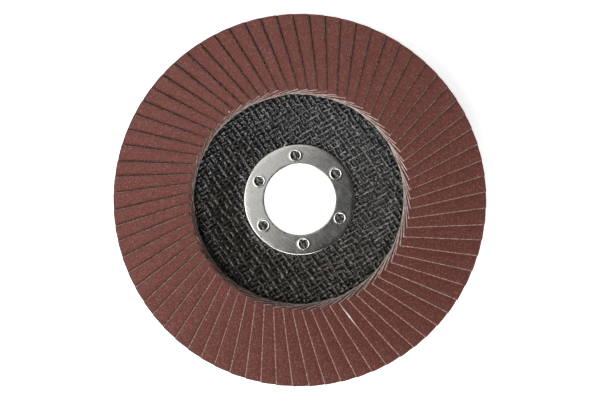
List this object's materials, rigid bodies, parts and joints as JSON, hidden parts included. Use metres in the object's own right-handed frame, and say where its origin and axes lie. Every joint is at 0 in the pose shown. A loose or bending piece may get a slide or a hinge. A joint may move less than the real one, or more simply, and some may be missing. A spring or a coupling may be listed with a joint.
{
  "type": "flap disc",
  "caption": "Flat abrasive flap disc for an angle grinder: overlapping coated-cloth flaps glued round a dished woven-glass plate with a flanged steel arbor ring.",
  "frame": {"origin": "on the bore's axis, in the plane of the hub's back face, on which the disc rests", "axes": "+Z along the bore's axis, from the hub's back face towards the abrasive side; +X and +Y in the disc's plane"},
  "size_m": [0.115, 0.115, 0.016],
  "materials": {
    "abrasive_cloth": "matte grit, reddish brown",
    "glass_cloth_resin": "black resin over woven glass yarn",
    "ring_steel": "plain pressed steel, finely scratched",
    "epoxy": "dark cured epoxy"
  },
  "bodies": {
    "root": {"backing_plate": "glass_cloth_resin", "arbor_ring": "ring_steel", "adhesive_bed": "epoxy", "flap_pair_01": "abrasive_cloth", "flap_pair_02": "abrasive_cloth", "flap_pair_03": "abrasive_cloth", "flap_pair_04": "abrasive_cloth", "flap_pair_05": "abrasive_cloth", "flap_pair_06": "abrasive_cloth", "flap_pair_07": "abrasive_cloth", "flap_pair_08": "abrasive_cloth", "flap_pair_09": "abrasive_cloth", "flap_pair_10": "abrasive_cloth", "flap_pair_11": "abrasive_cloth", "flap_pair_12": "abrasive_cloth", "flap_pair_13": "abrasive_cloth", "flap_pair_14": "abrasive_cloth", "flap_pair_15": "abrasive_cloth", "flap_pair_16": "abrasive_cloth", "flap_pair_17": "abrasive_cloth", "flap_pair_18": "abrasive_cloth", "flap_pair_19": "abrasive_cloth", "flap_pair_20": "abrasive_cloth", "flap_pair_21": "abrasive_cloth", "flap_pair_22": "abrasive_cloth", "flap_pair_23": "abrasive_cloth", "flap_pair_24": "abrasive_cloth", "flap_pair_25": "abrasive_cloth", "flap_pair_26": "abrasive_cloth", "flap_pair_27": "abrasive_cloth", "flap_pair_28": "abrasive_cloth", "flap_pair_29": "abrasive_cloth", "flap_pair_30": "abrasive_cloth", "flap_pair_31": "abrasive_cloth", "flap_pair_32": "abrasive_cloth", "flap_pair_33": "abrasive_cloth", "flap_pair_34": "abrasive_cloth", "flap_pair_35": "abrasive_cloth", "flap_pair_36": "abrasive_cloth"}
  },
  "joints": []
}
